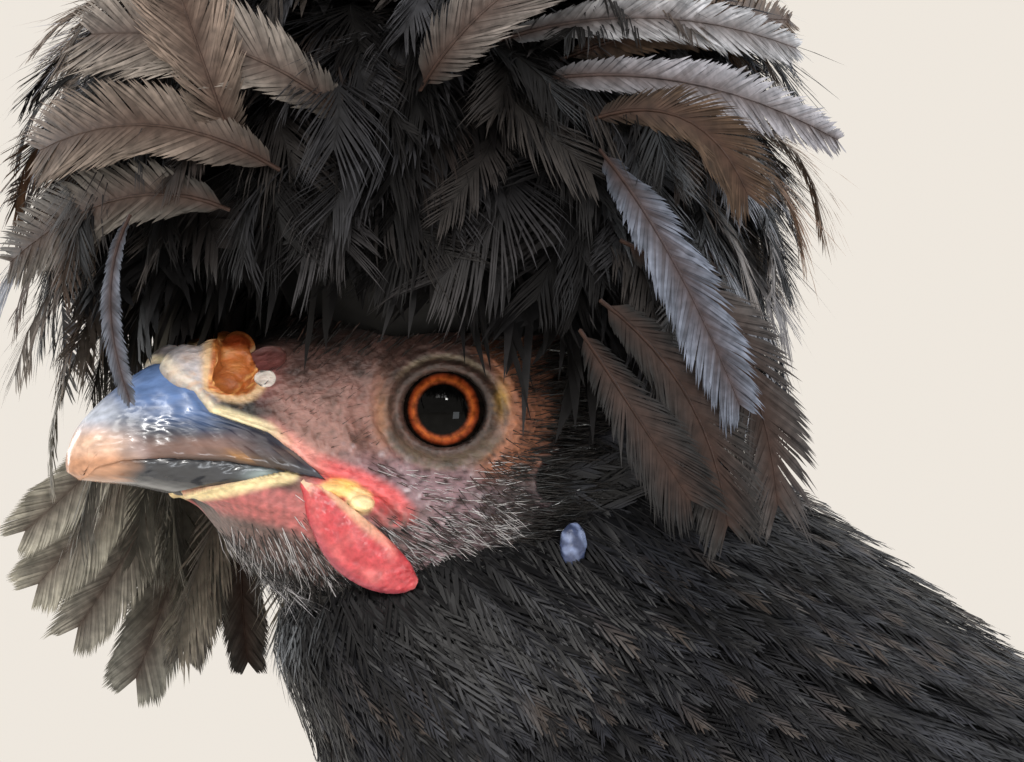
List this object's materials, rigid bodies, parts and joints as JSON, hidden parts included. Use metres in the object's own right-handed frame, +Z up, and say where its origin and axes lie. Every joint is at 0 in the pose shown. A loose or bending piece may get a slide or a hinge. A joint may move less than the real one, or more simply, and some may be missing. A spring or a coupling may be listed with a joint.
{
  "type": "crested hen model",
  "caption": "Life-size still model of a black crested hen, standing, with a globe of crest feathers, folded wings and a raised tail.",
  "frame": {"origin": "middle of the base of the overall bounding box, on the plane of the soles", "axes": "+Z up, the hen faces -Y, +X is the hen's left"},
  "size_m": [0.1504, 0.3434, 0.3795],
  "materials": {
    "plumage": "black feathers with a soft sheen",
    "face_skin": "grey-pink bare skin",
    "horn": "slate-coloured polished horn",
    "eye": "wet red-brown eye with a black pupil",
    "wattle_skin": "coral red skin",
    "lobe_skin": "bluish white skin",
    "leg_skin": "slate-coloured scales",
    "claw": "dark horn"
  },
  "bodies": {
    "root": {"torso": "plumage", "neck": "plumage", "head": "face_skin", "crest": "plumage", "tail": "plumage", "bill_upper": "horn", "bill_lower": "horn", "eye_left": "eye", "eye_right": "eye", "wattle_left": "wattle_skin", "wattle_right": "wattle_skin", "lobe_left": "lobe_skin", "lobe_right": "lobe_skin", "wing_left": "plumage", "wing_right": "plumage", "thigh_left": "plumage", "thigh_right": "plumage", "shank_left": "leg_skin", "shank_right": "leg_skin", "foot_left": "leg_skin", "foot_right": "leg_skin", "claw_inner_left": "claw", "claw_middle_left": "claw", "claw_outer_left": "claw", "claw_hind_left": "claw", "claw_inner_right": "claw", "claw_middle_right": "claw", "claw_outer_right": "claw", "claw_hind_right": "claw"}
  },
  "joints": []
}
